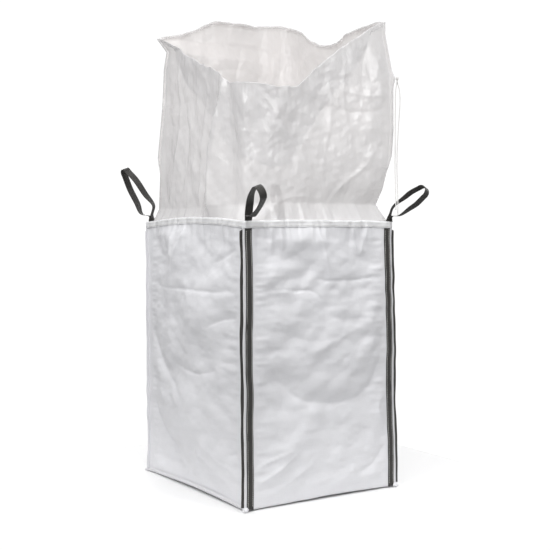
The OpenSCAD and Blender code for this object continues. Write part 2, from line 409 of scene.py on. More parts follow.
def webbing_material():
    """Charcoal webbing in a fine chevron weave. Its paler flecks on the weave's raised crowns are painted
    glints.
    """
    nodes = Nodes("webbing", Roughness=0.62, Specular_IOR_Level=0.35, Sheen_Weight=0.25, Sheen_Roughness=0.4)
    across, along = nodes.metres()
    rib = nodes.math("PINGPONG", across, 0.0052)
    chevron = nodes.math("SINE", nodes.times(nodes.plus(along, rib), 2 * math.pi / 0.0032))
    cords = nodes.math("SINE", nodes.times(across, 2 * math.pi / 0.0017))
    height = nodes.plus(nodes.times(chevron, 0.5), nodes.times(cords, 0.3))
    # painted glints: paler colour on the raised crowns of the weave, where light catches them
    painted_glint = nodes.times(nodes.math("GREATER_THAN", height, 0.42), nodes.noise(420, 2))
    # the painted glints, plus a broad random tone
    glints_and_tone = nodes.plus(nodes.times(painted_glint, 0.75), nodes.times(nodes.noise(14, 4), 0.35))
    colour = nodes.colour((0.014, 0.0135, 0.013), (0.125, 0.118, 0.108), glints_and_tone)
    return nodes.finish(colour, nodes.bump(height, 0.0005, 0.8))


def film_material(name, dark, light, alpha):
    """Clear, slightly milky polyethylene film, glossy and finely crumpled."""
    nodes = Nodes(name, Roughness=0.22, Alpha=alpha, Specular_IOR_Level=0.55, IOR=1.5)
    creased = nodes.noise(9, 6, (1, 1, 0.45), 0.6, "RIDGED_MULTIFRACTAL")
    milky = nodes.colour(dark, light, nodes.times(creased, 0.6))
    normal = nodes.bump(creased, 0.006, 0.7)
    normal = nodes.bump(nodes.noise(24, 5, (1, 1, 0.7), 0.65, "RIDGED_MULTIFRACTAL"), 0.0040, 0.6, normal)
    return nodes.finish(milky, nodes.bump(nodes.noise(90, 4, (1, 1, 0.6), 0.6), 0.0030, 0.7, normal))


def thread_material(name, light, dark, twist):
    """Off-white thread or braid. twist is the length of one turn of its strands."""
    nodes = Nodes(name, Roughness=0.7, Sheen_Weight=0.2)
    strands = nodes.noise(1 / twist, 2, (1, 1, 0.5))
    return nodes.finish(nodes.colour(dark, light, strands), nodes.bump(strands, twist / 4, 0.6))


CLOTH = cloth_material("woven_cloth", (0.72, 0.72, 0.743), (0.85, 0.85, 0.875))
HEM_CLOTH = cloth_material("hem_cloth", (0.735, 0.735, 0.75), (0.845, 0.845, 0.86))
WEBBING = webbing_material()
FILM = film_material("skirt_film", (0.86, 0.85, 0.855), (0.99, 0.98, 0.985), 0.42)
# The back half's film is a darker, warmer copy of the front half's. The darkness is painted shade for the far
# side, seen inside the skirt.
FAR_FILM_PAINTED_SHADE = film_material("skirt_back_film_painted_shade", (0.80, 0.755, 0.74), (0.94, 0.895, 0.88), 0.44)
HEM_FILM = film_material("mouth_hem_film", (0.92, 0.91, 0.91), (1.0, 0.99, 0.99), 0.22)
THREAD = thread_material("thread", (0.88, 0.87, 0.83), (0.66, 0.65, 0.62), 0.0012)
BRAID = thread_material("tie_cord_braid", (0.85, 0.84, 0.82), (0.62, 0.61, 0.60), 0.002)


def place(piece, slot, *nodes, body="bag"):
    """The piece rides on its body and stands for the nodes, which are hidden. slot is not used."""
    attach(piece, body)
    if nodes:
        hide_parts(*nodes)
    return piece


# ---- Camera, light and floor ----

def set_camera():
    """The view is from just below the hem, past the front corner, with the front face wider than the side."""
    turn, down, away, aside = math.radians(33.645), math.radians(2.645), 5.4385, 0.0438
    right = Vector((math.cos(turn), -math.sin(turn), 0))
    back = Vector((-math.sin(turn) * math.cos(down), -math.cos(turn) * math.cos(down), math.sin(down)))
    up = back.cross(right)
    lens = bpy.data.cameras.new("camera")
    lens.lens = 66.64
    camera = bpy.data.objects.new("camera", lens)
    centre = Vector((0, 0, 1.0971))
    camera.matrix_world = Matrix.Translation(centre + back * away + right * aside) @ Matrix(
        (right, up, back)).transposed().to_4x4()
    bpy.context.scene.collection.objects.link(camera)
    bpy.context.scene.camera = camera


def add_lamp(name, light, towards, spot=(0, 0, 0)):
    """Hangs a light at spot. It shines away from the direction towards."""
    lamp = bpy.data.objects.new(name, light)
    lamp.location = spot
    lamp.rotation_mode = "QUATERNION"
    lamp.rotation_quaternion = Vector(towards).to_track_quat("Z", "Y")
    bpy.context.scene.collection.objects.link(lamp)


def add_sun(name, towards, strength, softness):
    """A distant light seen in the given direction. softness is its width in degrees."""
    light = bpy.data.lights.new(name, "SUN")
    light.energy = strength
    light.angle = math.radians(softness)
    add_lamp(name, light, towards)


def add_softbox(name, spot, power, aim):
    """A square soft light with a narrow beam, aimed at the bag's axis at the height aim."""
    light = bpy.data.lights.new(name, "AREA")
    light.size = 1.4
    light.energy = power
    light.spread = math.radians(60)
    add_lamp(name, light, Vector(spot) - Vector((0, 0, aim)), spot)


def set_world():
    """White, and brighter to the camera than to the bag, so that the background stays white."""
    world = bpy.data.worlds.new("studio")
    world.use_nodes = True
    tree = world.node_tree
    background = tree.nodes["Background"]
    seen = tree.nodes.new("ShaderNodeLightPath").outputs["Is Camera Ray"]
    level = tree.nodes.new("ShaderNodeMapRange")
    level.inputs["To Min"].default_value = 0.16
    level.inputs["To Max"].default_value = 1.05
    tree.links.new(seen, level.inputs["Value"])
    tree.links.new(level.outputs[0], background.inputs["Strength"])
    background.inputs["Color"].default_value = (1, 1, 1, 1)
    bpy.context.scene.world = world
    bpy.context.scene.view_settings.view_transform = "Standard"


def set_studio():
    """A white background, a broad light from above, a softbox on each side of the bag, and a pale floor."""
    set_world()
    add_sun("overhead", (-0.2, -0.2, 1.0), 2.75, 70)
    for name, spot, power, aim in (
            ("left_softbox", (-3.7, -1.3, 3.1), 10.5, 1.55), ("right_softbox", (0.9, -4.1, 3.1), 9, 1.55),
            ("back_softbox", (1.1, 4.1, 3.1), 9, 1.2), ("far_right_softbox", (3.9, 0.9, 3.1), 9, 1.2)):
        add_softbox(name, spot, power, aim)
    bpy.context.scene.cycles.transparent_max_bounces = 32      # light goes on through every layer of film
    floor_nodes = Nodes("studio_floor", Roughness=0.9)
    floor_nodes.shader.inputs["Base Color"].default_value = (0.87, 0.87, 0.87, 1)
    size = 1.15
    corners = [(-size, -size, 0), (size, -size, 0), (size, size, 0), (-size, size, 0)]
    new_object("studio_floor", corners, [[0, 1, 2, 3]], floor_nodes.material)


set_camera()
set_studio()


# ---- Tie cord: two limp tails that hang from the tack on the right-hand seam ----

# Distance out along the right-hand diagonal, offset towards the back right-hand side, height: millimetres
LONG_TAIL = [
    [693, -4, 2102], [694, -4, 2092], [698, -5, 2078], [703, -6, 2060], [706, -8, 2038], [708, -9, 2012],
    [708, -10, 1984], [707, -11, 1954], [705, -12, 1922], [703, -13, 1888], [701, -14, 1852], [699, -15, 1814],
    [697, -16, 1776], [696, -17, 1738], [696, -19, 1700], [696, -21, 1662], [697, -24, 1624], [699, -28, 1586],
    [701, -33, 1550], [703, -39, 1516], [705, -46, 1484], [706, -51, 1456], [706, -53, 1430], [706, -54, 1410]
]
SHORT_TAIL = [
    [693, -11, 2102], [691, -11, 2088], [688, -11, 2068], [686, -11, 2044], [685, -11, 2016], [685, -11, 1986],
    [685, -11, 1954], [685, -11, 1920], [685, -11, 1884], [685, -11, 1846], [685, -11, 1808], [685, -12, 1770],
    [685, -13, 1732], [685, -16, 1694], [686, -20, 1656], [687, -25, 1620], [689, -31, 1584], [691, -38, 1550],
    [693, -45, 1518], [695, -51, 1488], [696, -55, 1460], [696, -57, 1440]
]
CORD_D = 0.005


def from_diagonal(points):
    """From distance along the right-hand diagonal, offset and height in millimetres to the frame's metres."""
    p = np.array(points, float) / 1000
    out, back = np.array([HALF_W, -HALF_D]) / DIAGONAL, np.array([HALF_D, HALF_W]) / DIAGONAL
    return np.column_stack([p[:, :1] * out + p[:, 1:2] * back, p[:, 2]])


def joint_named(name):
    return next(j for j in frame["joints"] if j["name"] == name)


def let_down(piece):
    """Gives the piece a mesh of its own."""
    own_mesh(piece)


def tie_cord(name, tail):
    """One tail of the cord. Its far end is bare."""
    line = smooth_route(from_diagonal(tail), 4)
    tangent = directions(line)
    side = unit(np.cross(tangent, [0, 1, 0]))
    cord = swept_mesh(name, line, side, np.cross(side, tangent), round_section(CORD_D), BRAID)
    place(cord, "tie_cord", name.replace("_braid", ""))
    let_down(cord)


def lump(name, centre, radii, material, seed, rough=0.12):
    """A small soft body with an uneven surface, such as a knot or a folded end of cloth."""
    rows, cols = 9, 14
    a = np.linspace(-math.pi / 2, math.pi / 2, rows)[:, None]
    b = np.linspace(0, 2 * math.pi, cols, endpoint=False)[None, :]
    ball = np.stack(np.broadcast_arrays(np.cos(a) * np.cos(b), np.cos(a) * np.sin(b), np.sin(a)), -1)
    bumps = 1 + rough * smooth_noise(ball[..., 0] * 1.7 + 3, ball[..., 1] * 1.7 + ball[..., 2] + 3, seed)
    points = np.array(centre) + ball * bumps[..., None] * np.array(radii)
    uv = np.stack(np.broadcast_arrays(b * radii[0], a * radii[2]), -1)
    uv = np.concatenate([uv, uv[:, :1] + [2 * math.pi * radii[0], 0]], 1)
    return sheet_mesh(name, points, uv, material, wrap=True)


def add_tie_cords():
    low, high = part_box("skirt_tie_tack")
    centre, radii = (low + high) / 2, (high - low) / 2
    tack = lump("skirt_tie_tack_patch", centre, (radii.x * 0.95, radii.y * 0.95, radii.z * 1.05), BRAID, 5)
    place(tack, "tie_cord", "skirt_tie_tack")
    let_down(tack)
    tie_cord("skirt_tie_cord_long_braid", LONG_TAIL)
    tie_cord("skirt_tie_cord_short_braid", SHORT_TAIL)


add_tie_cords()


# ---- Body: where its corners and faces are ----

def corner_at(corner, z):
    """X and Y of a corner of the body at height z: the bag is soft, so its corners wander and lean."""
    sx, sy = CORNERS[corner]
    seed = 10 * (2 + sx) + sy
    z = np.asarray(z, float)
    x = sx * HALF_W + 0.0045 * smooth_noise(z / 0.19, 0.5, seed)
    x = x + 0.0026 * smooth_noise(z / 0.065, 0.5, seed + 3)
    y = sy * HALF_D + 0.0035 * smooth_noise(z / 0.23, 0.5, seed + 7)
    if corner == "front":
        x = x + 0.008 * (1 - z / BAG_H)
    if corner == "right":
        x = x - 0.020 * soft_step(0.8, BAG_H, z)
        y = y - 0.022 * (1 - soft_step(0, 0.5, z))
    return x, y


def face_width(face):
    return 2 * HALF_W if face in ("front", "back") else 2 * HALF_D


# Each face: seed of its noise, how far it bulges, how far its top edge arches and how far its base lifts
FACE_FORMS = {
    "front": dict(seed=100, belly=0.018, arch=0.006, lift=0.015),
    "right": dict(seed=200, belly=0.024, arch=0.014, lift=0.015),
    "back": dict(seed=300, belly=0.020, arch=0.010, lift=0.015),
    "left": dict(seed=400, belly=0.034, arch=0.022, lift=0.022),
}
# Creases of the two kinds of face, in metres across the face and up: (route, width,
# height, and tilt where there is one)
FRONT_CREASES = [
    ([(0.08, 0.60), (0.20, 0.60), (0.34, 0.50), (0.60, 0.48), (0.75, 0.55), (0.82, 0.71)], 0.045, -0.013),
    ([(0.34, 0.72), (0.50, 0.78), (0.76, 0.88)], 0.05, 0.011),
    ([(0.07, 1.05), (0.30, 1.04), (0.40, 1.03), (0.46, 0.97)], 0.012, -0.003, 0.002),
    ([(0.40, 1.09), (0.62, 1.08), (0.82, 1.10)], 0.012, -0.003, 0.002),
    ([(0.42, 1.37), (0.46, 1.24), (0.50, 1.08)], 0.016, 0.006),
    ([(0.64, 1.37), (0.69, 1.20)], 0.014, 0.005),
    ([(0.75, 1.37), (0.70, 1.20)], 0.014, 0.005),
    ([(0.04, 0.11), (0.17, 0.18), (0.30, 0.26)], 0.018, 0.006, 0.002),
    ([(0.04, 0.20), (0.15, 0.24), (0.27, 0.27)], 0.016, 0.005, 0.002),
    ([(0.10, 0.05), (0.26, 0.12), (0.42, 0.22)], 0.03, 0.007),
    ([(0.66, 0.10), (0.77, 0.15), (0.87, 0.26)], 0.03, -0.008),
    ([(0.86, 0.30), (0.80, 0.42), (0.86, 0.52)], 0.03, 0.006),
    ([(0.15, 1.37), (0.15, 1.22)], 0.012, 0.005),
    ([(0.20, 1.37), (0.21, 1.24)], 0.012, 0.004),
    ([(0.06, 1.36), (0.07, 1.25)], 0.02, -0.008),
]
SIDE_CREASES = [
    ([(0.14, 1.03), (0.44, 1.03), (0.77, 1.03), (0.90, 1.06)], 0.012, -0.0035, 0.002),
    ([(0.34, 0.63), (0.57, 0.61), (0.76, 0.64)], 0.014, -0.004, 0.002),
    ([(0.02, 0.84), (0.13, 0.70), (0.24, 0.58), (0.48, 0.46)], 0.05, -0.013),
    ([(0.06, 0.44), (0.16, 0.30), (0.30, 0.17), (0.54, 0.07)], 0.04, -0.010),
    ([(0.31, 1.37), (0.30, 1.20), (0.28, 1.04)], 0.014, 0.006),
    ([(0.45, 1.36), (0.38, 1.25), (0.31, 1.15)], 0.014, 0.006),
    ([(0.70, 1.17), (0.80, 1.20), (0.93, 1.26)], 0.02, -0.005),
    ([(0.70, 0.86), (0.82, 0.90), (0.95, 0.91)], 0.022, -0.006, 0.002),
    ([(0.80, 0.76), (0.96, 0.77)], 0.018, -0.004),
    ([(0.80, 0.69), (0.96, 0.71)], 0.018, -0.004),
    ([(0.82, 0.23), (0.96, 0.28)], 0.018, -0.005),
    ([(0.55, 0.30), (0.75, 0.20), (0.95, 0.16)], 0.04, 0.006),
]


def relief(face, u, z):
    """How far a face stands out of its plane: bulge, slack, packing folds, and puckers at its edges."""
    width, form = face_width(face), FACE_FORMS[face]
    seed = form["seed"]
    creases = FRONT_CREASES if face in ("front", "back") else SIDE_CREASES
    mirrored = face in ("right", "back")
    edge = np.minimum(u, width - u)
    inside = soft_step(0.9 * WEB_W, 0.16, edge)
    level = soft_step(0.0, 0.10, z) * soft_step(0.0, 0.10, BAG_H - 0.01 - z)
    bulge = form["belly"] * np.sin(np.pi * np.clip(u / width, 0, 1))
    total = bulge * soft_step(0, 0.5, z) * soft_step(0, 0.5, BAG_H - z)
    for height, cell, step, stretch in ((0.020, 0.33, 0, (1, 1)), (0.0075, 0.13, 5, (1, 1.3)),
                                        (0.0026, 0.04, 7, (0.55, 1))):
        slack = layered_noise(u * stretch[0], z * stretch[1], cell, seed + step, 2)
        total = total + inside * level * height * slack
    total = total + inside * level * 0.008 * crumple(u * 0.8, z, 0.14, seed + 30, 5)
    place_u, scale = (width - u, 1.6) if mirrored else (u, 2.0)
    place_z = z * 0.93 + 0.05 if mirrored else z
    beside_strap = soft_step(0.8 * WEB_W, 0.10, edge)
    for route, *form_of_crease in creases:
        total = total + scale * beside_strap * crease(place_u, place_z, route, *form_of_crease)
    puckers = smooth_noise(u / 0.11, z / 0.028, seed + 9) + 0.6 * smooth_noise(u / 0.08, z / 0.013, seed + 10)
    total = total + 0.0080 * puckers * soft_step(0.9 * WEB_W, 0.075, edge) * np.exp(-edge / 0.085) * level
    pleats = smooth_noise(u / 0.030, z / 0.25, seed + 11) + 0.5 * smooth_noise(u / 0.014, z / 0.12, seed + 12)
    under_hem = np.exp(-np.maximum(BAND_Z - z, 0) / 0.085) * soft_step(0.9 * WEB_W, 0.07, edge)
    total = total + 0.0060 * pleats * under_hem
    over_base = np.exp(-z / 0.05) * soft_step(0, 0.08, edge)
    return total + 0.003 * over_base * smooth_noise(u / 0.06, z / 0.06, seed + 13)


def base_lift(face, u):
    """How far the base edge of a face is off the floor."""
    form = FACE_FORMS[face]
    arch = np.sin(np.pi * np.clip(u / face_width(face), 0, 1))
    return form["lift"] * arch ** 0.5 * (0.68 + 0.32 * smooth_noise(u / 0.17, 0.5, form["seed"] + 20))


def rise(face, u, z):
    """The top edge arches a little between the corners, and the base edge lifts off the floor in places."""
    arch = np.sin(np.pi * np.clip(u / face_width(face), 0, 1))
    top = FACE_FORMS[face]["arch"] * arch - 0.010
    return top * soft_step(1.0, BAG_H, z) + base_lift(face, u) * (1 - soft_step(0, 0.2, z))


def face_point(face, u, z, out=0.0):
    """Points on a face, u from its left-hand corner seen from outside and z up, moved outwards by out."""
    u, z = np.broadcast_arrays(np.asarray(u, float), np.asarray(z, float))
    left, right, facing = FACES[face]
    ax, ay = corner_at(left, z)
    bx, by = corner_at(right, z)
    share = u / face_width(face)
    height = relief(face, u, z) + out
    return np.stack([ax + (bx - ax) * share + facing[0] * height,
                     ay + (by - ay) * share + facing[1] * height,
                     z + rise(face, u, z)], -1)


def spaced(a, b, cell=CELL):
    return np.linspace(a, b, max(2, int(round(abs(b - a) / cell)) + 1))


# ---- Body: panels ----

def add_u_panel():
    """Front face, floor and back face in one length of cloth. Past the corners its edges are the hems of the
    front and back faces, and along the floor they turn up as lips outside the side panels."""
    width, fold = 2 * HALF_W, 0.016
    columns = np.concatenate([[-HEM_OUT, -HEM_OUT * 0.6, -HEM_OUT * 0.25], spaced(0, width),
                              [width + HEM_OUT * 0.25, width + HEM_OUT * 0.6, width + HEM_OUT]])
    past = np.maximum(-columns, 0) - np.maximum(columns - width, 0)
    inner = np.clip(columns, 0, width)

    def wall_row(face, z):
        """A row across the front or back face, always from -X to +X."""
        u = inner if face == "front" else width - inner
        row = face_point(face, u, z, -CLOTH_T / 2)
        flutter = 0.0012 * smooth_noise(z / 0.05, 0.5, 71) * np.abs(past) / HEM_OUT
        row[:, 0] -= past
        row[:, 1] += flutter
        return row

    def lip_turn(row, turn):
        """Turns the part past the edges up, from flat at turn 0 to upright at turn 1."""
        angle = turn * math.pi / 2
        reach = np.abs(past) * (1 + turn * (LIP_H / HEM_OUT - 1))
        row[:, 0] -= np.sign(past) * (reach * math.cos(angle) + 0.0045 * turn * (past != 0))
        row[:, 2] += reach * math.sin(angle)
        return row

    def turned_row(edge, angle, towards):
        """A row of the bend from a wall to the floor. towards is the sign of Y in which the floor lies."""
        row = edge + np.array([0, towards * fold * (1 - math.cos(angle)), -fold * math.sin(angle)])
        row[:, 2] = np.maximum(row[:, 2], GROUND)
        return lip_turn(row, angle / (math.pi / 2))

    def floor_row(share):
        """A row of the floor, from the front edge at share 0 to the back edge at 1."""
        row = front_edge * (1 - share) + back_edge * share
        row[:, 1] = (front_edge[:, 1] + fold) * (1 - share) + (back_edge[:, 1] - fold) * share
        near = min(share, 1 - share) * 2 * HALF_D
        row[:, 2] = (row[:, 2] - fold) * math.exp(-near / 0.10)
        for face, end in (("left", inner), ("right", width - inner)):
            place_u = row[:, 1] + HALF_D if face == "right" else HALF_D - row[:, 1]
            row[:, 2] = np.maximum(row[:, 2], base_lift(face, place_u) * np.exp(-end / 0.03))
        row[:, 2] += GROUND
        return lip_turn(row, 1.0)

    heights = spaced(BAG_H - 0.004, fold)
    front_edge, back_edge = wall_row("front", fold), wall_row("back", fold)
    for edge in (front_edge, back_edge):
        edge[:, 0] += past
    turns = np.linspace(0, math.pi / 2, 6)[1:]
    rows = [wall_row("front", z) for z in heights]
    rows += [turned_row(front_edge, angle, 1) for angle in turns]
    rows += [floor_row(share) for share in spaced(0, 1, 0.02)[1:-1]]
    rows += [turned_row(back_edge, angle, -1) for angle in turns[::-1]]
    rows += [wall_row("back", z) for z in heights[::-1]]
    points = np.array(rows)
    uv = sheet_uv(columns, run_along(points[:, len(columns) // 2]))
    panel = sheet_mesh("u_panel_cloth", points, uv, CLOTH, CLOTH_T)
    return place(panel, "cloth", "u_panel")


def add_side_panel(face):
    """One side face. Its vertical edges turn outwards as hems behind those of the front and back faces."""
    width = face_width(face)
    left, right, facing = FACES[face]
    hems = np.array([SIDE_OUT, SIDE_OUT * 0.66, SIDE_OUT * 0.33])
    z = spaced(0.004, BAG_H - 0.004)[:, None]
    wall = spaced(0.003, width - 0.003)[None, :]
    middle = face_point(face, wall, z, -CLOTH_T / 2)
    outward = facing[0]

    def hem(corner, out):
        """A hem's columns. Above the band and below the lip it is drawn in."""
        x, y = corner_at(corner, z)
        sy = CORNERS[corner][1]
        reach = out * (1 - 0.9 * soft_step(BAND_Z - 0.012, BAND_Z - 0.004, z)) * soft_step(0.004, 0.03, z)
        top = rise(face, 0.0 * z, z)
        flutter = 0.001 * smooth_noise(z / 0.045, 0.5, 91) * out / SIDE_OUT
        return np.stack(np.broadcast_arrays(x + outward * reach, y - sy * HEM_BEHIND + flutter, z + top), -1)

    points = np.concatenate([hem(left, hems[None, :]), middle, hem(right, hems[None, ::-1])], 1)
    # the panel reaches the hem's depth at both ends
    count = len(hems)
    for column, corner in ((count, left), (-count - 1, right)):
        x, y = corner_at(corner, z[:, 0])
        points[:, column, 1] = y - CORNERS[corner][1] * HEM_BEHIND
    along = np.concatenate([-hems, wall[0], width + hems[::-1]])
    panel = sheet_mesh(f"side_panel_{face}_cloth", points, sheet_uv(along, z[:, 0]), CLOTH, CLOTH_T)
    return place(panel, "cloth", f"side_panel_{face}")


BODY_PANELS = {"u": add_u_panel(), "left": add_side_panel("left"), "right": add_side_panel("right")}


# ---- Straps ----

def strap_faces(corner):
    """The face that carries a corner's outer strap, and whether the corner is at that face's left-hand end."""
    face = "front" if CORNERS[corner][1] < 0 else "back"
    return face, FACES[face][0] == corner


def strap_line(corner, z, inward, out):
    """Points beside a corner, on the face that carries its strap: inward metres from the corner."""
    face, at_left = strap_faces(corner)
    u = inward if at_left else face_width(face) - inward
    return face_point(face, u, z, out)


def strap_wander(corner, z):
    """How far the outer leg strays sideways on its face."""
    sx, sy = CORNERS[corner]
    return 0.0026 * smooth_noise(z / 0.11, 0.5, 31 + sx + 3 * sy)


def add_strap_leg(corner, leg, line):
    """A flat strap along a line, with its width along X."""
    sx, sy = CORNERS[corner]
    ones = np.ones((len(line), 1))
    strap = swept_mesh(f"corner_strap_{corner}_{leg}_webbing", line, ones * [sx, 0, 0.0], ones * [0, sy, 0.0],
                       flat_section(WEBBING_W, WEB_T), WEBBING)
    place(strap, "webbing", f"corner_strap_{corner}_{leg}")


def add_outer_leg(corner):
    sx, sy = CORNERS[corner]
    z = spaced(STRAP_Z, BAG_H + 0.002, ROW)
    line = strap_line(corner, z, WEB_W / 2, WEB_T / 2 + LAYER_GAP)
    line[:, 0] += strap_wander(corner, z)
    line[:, 1] += sy * 0.0006 * smooth_noise(z / 0.04, 0.5, 41 + sx)
    add_strap_leg(corner, "outer", line)


# How much less of each inner leg shows past its corner than in the frame, or more where negative
LESS_SHOWING = {"left": 0.008, "front": -0.005, "right": -0.006, "back": 0.004}


def add_inner_leg(corner):
    """The leg between the hems shows past them, and steps in below the hem band."""
    sx, sy = CORNERS[corner]
    z = spaced(LIP_H + 0.002, BAG_H + 0.002, ROW)
    x, y = corner_at(corner, z)
    step = soft_step(BAND_Z - 0.014, BAND_Z + 0.004, z)
    showing = INNER_OUT - LESS_SHOWING[corner]
    middle = (showing - WEB_W / 2) * (1 - step) - WEB_W / 2 * step
    middle = middle + 0.004 * smooth_noise(z / 0.11, 0.5, 51 + sx + 3 * sy) * (1 - step)
    depth = CLOTH_T + WEB_T / 2 + LAYER_GAP
    line = np.stack([x + sx * middle, y - sy * depth, z + rise("front", 0.0 * z, z)], -1)
    add_strap_leg(corner, "inner", line)


def add_strap_stitching(corner):
    """Two lines along the outer leg, and one through the hems beside it."""
    sx, sy = CORNERS[corner]
    z = spaced(STRAP_Z + 0.012, BAND_Z - 0.004, ROW)
    outward = np.ones((len(z), 1)) * [0, sy, 0.0]
    routes = []
    for inward in (0.008, WEB_W - 0.008):
        line = strap_line(corner, z, inward, WEB_T + 0.0008)
        line[:, 0] += strap_wander(corner, z)
        routes.append((line, outward))
    x, y = corner_at(corner, z)
    hem = np.stack([x + sx * 0.006, y + sy * 0.0004, z], -1)
    routes.append((hem[3:-2], outward[3:-2]))
    thread = stitches(f"strap_stitching_{corner}_thread", routes, THREAD)
    place(thread, "thread", f"strap_stitching_{corner}")


for corner in CORNERS:
    add_outer_leg(corner)
    add_inner_leg(corner)
    add_strap_stitching(corner)


# ---- Lifting loops ----

# How each loop was left: its length, half its width low down, in the middle and at the tip, the turn about its
# own length, and how far it has leaned and turned past its hinge's rest, in metres and degrees
LOOPS = {
    "front": dict(length=0.255, low=0.032, belly=0.038, tip=0.036, roll=24, lean=9, turn=0),
    "right": dict(length=0.242, low=0.030, belly=0.043, tip=0.034, roll=-30, lean=-2, turn=0),
    "back": dict(length=0.265, low=0.025, belly=0.036, tip=0.034, roll=15, lean=0, turn=0),
    "left": dict(length=0.312, low=0.045, belly=0.056, tip=0.028, roll=-42, lean=2, turn=10),
}


def add_loop(corner):
    """Free webbing from the outer leg, up and round the loop, to the inner leg. It flexes at its foot."""
    sx, sy = CORNERS[corner]
    shape = LOOPS[corner]
    joint = joint_named(f"loop_{corner}_lean")
    hinge = np.array(joint["pos_m"], float)
    hinge_axis = unit(np.array(joint["axis"], float))
    lean = math.radians(shape["lean"] - joint["range_deg"][0])
    turn, roll = math.radians(shape["turn"]), math.radians(shape["roll"])
    heading = np.array([hinge_axis[1], -hinge_axis[0], 0.0])
    heading = heading * math.cos(turn) + hinge_axis * math.sin(turn)
    width = np.array([-heading[1], heading[0], 0.0])
    along = math.sin(lean) * heading + np.array([0, 0, math.cos(lean)])
    spread = math.cos(lean) * heading - np.array([0, 0, math.sin(lean)])
    # one side of the loop from its foot to the tip, then back down the other side
    length, radius = shape["length"], shape["tip"]
    centre = length - radius
    reach = [(0.012, 0.008), (0.05, shape["low"]), (0.12, (shape["low"] + shape["belly"]) / 1.9),
             (length * 0.67, shape["belly"]), (centre, radius)]
    arc = [(centre + radius * math.sin(a), radius * math.cos(a)) for a in np.linspace(0, math.pi, 11)[1:-1]]
    profile = reach + arc + [(d, -s) for d, s in reversed(reach)]
    points, sides = [], []
    for distance, offset in profile:
        twist = roll * soft_step(0.02, 0.16, distance)
        points.append(hinge + along * distance + (spread * math.cos(twist) + width * math.sin(twist)) * offset)
        sides.append(width * math.cos(twist) - spread * math.sin(twist))
    face_x = np.array([sx, 0, 0.0])
    outer_first = (points[0] - points[-1])[1] * sy > 0
    top = BAG_H - 0.012
    outer = [np.array([hinge[0], sy * (HALF_D + WEB_T / 2), top + dz]) for dz in (0, 0.012)]
    inner = [np.array([hinge[0], sy * (HALF_D - CLOTH_T - WEB_T), top + dz]) for dz in (0, 0.012)]
    start, end = (outer, inner) if outer_first else (inner, outer)
    if sides[0] @ face_x < 0:
        sides = [-s for s in sides]
    line = smooth_route(np.array(start + points + end[::-1]), 7)
    wide = smooth_route(np.array([face_x] * 2 + sides + [face_x] * 2), 7)
    tangent = directions(line)
    wide = unit(wide - (wide * tangent).sum(1, keepdims=True) * tangent)
    out = np.cross(tangent, wide)
    section = flat_section(WEBBING_W, WEB_T)
    loop = swept_mesh(f"lifting_loop_{corner}_webbing", line, wide, out, section, WEBBING)
    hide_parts(f"lifting_loop_{corner}")
    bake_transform(loop)


for corner in CORNERS:
    add_loop(corner)


# ---- Hem band ----

RING_FACES = ["front", "right", "back", "left"]


def face_columns(face):
    """Places of a band's columns across a face, without the one at its right-hand corner."""
    return spaced(0, face_width(face))[:-1]


def band_point(face, u, z, out):
    """Points on a band over the faces, which turns round the corners and lies over the straps there."""
    width = face_width(face)
    edge = np.minimum(u, width - u)
    over_strap = 0.0030 * (1 - soft_step(WEB_W, WEB_W + 0.015, edge))
    point = face_point(face, u, z, out + over_strap)
    corner_pull = 0.004 * np.exp(-edge / 0.004)
    point[..., :2] += corner_pull[..., None] * np.sign(point[..., :2])
    return point


def add_hem_band():
    """Cloth sewn round the top, over the straps, and turned in over the edge, with two lines of stitches."""
    outside = [(0.0009, 0.0), (0.0016, 0.003), (0.0024, 0.010), (0.0020, 0.018), (0.0025, 0.026)]
    turned_in = [(0.0018, -0.001), (0.0, 0.001), (-0.0022, -0.001), (-0.0030, -0.010), (-0.0030, -0.026)]
    profile = [(out, BAND_Z + lift) for out, lift in outside] + [(out, BAG_H + lift) for out, lift in turned_in]
    run = np.cumsum([0] + [face_width(f) / len(face_columns(f)) for f in RING_FACES for _ in face_columns(f)])
    rows = []
    for k, (out, z) in enumerate(profile):
        row = []
        for face in RING_FACES:
            u = face_columns(face)
            s = u + RING_FACES.index(face) * 1.7
            pucker = 0.0011 * smooth_noise(s / 0.017, k / 2.5, 61)
            pucker = pucker + 0.0008 * smooth_noise(s / 0.045, k / 4, 62)
            ripple = 0.0018 * smooth_noise(s / 0.06, 0.5, 63) + 0.0008 * smooth_noise(s / 0.02, 0.5, 64)
            points = band_point(face, u, np.full(u.shape, min(z, BAG_H)), out + pucker * (out > 0))
            points[:, 2] += ripple + max(z - BAG_H, 0)
            row.append(points)
        rows.append(np.concatenate(row))
    points = np.array(rows)
    uv = sheet_uv(run, run_along(points[:, 5]))
    band = sheet_mesh("top_hem_band_cloth", points, uv, HEM_CLOTH, CLOTH_T, wrap=True)
    place(band, "cloth", "top_hem_band")
    outward = np.concatenate([np.tile([*FACES[f][2], 0.0], (len(face_columns(f)), 1)) for f in RING_FACES])
    routes = [(points[row] + outward * 0.0012, outward) for row in (2, 4)]
    thread = stitches("hem_stitching_thread", routes, THREAD, 0.008, 0.003)
    place(thread, "thread", "hem_stitching")
    return band


HEM_BAND = add_hem_band()


def add_base_stitching():
    """A line of stitches along each lip at the base."""
    routes = []
    for face in ("left", "right"):
        u = spaced(0.012, face_width(face) - 0.012, ROW)
        line = face_point(face, u, np.full(u.shape, LIP_H * 0.6), 0.0051)
        wall = face_point(face, u, np.full(u.shape, 0.016))
        line[:, 0] = np.sign(line[0, 0]) * (np.abs(wall[:, 0]) + 0.0057)
        routes.append((line, np.tile([*FACES[face][2], 0.0], (len(u), 1))))
    thread = stitches("base_seam_stitching_thread", routes, THREAD, 0.008, 0.003)
    place(thread, "thread", "base_seam_stitching")


add_base_stitching()


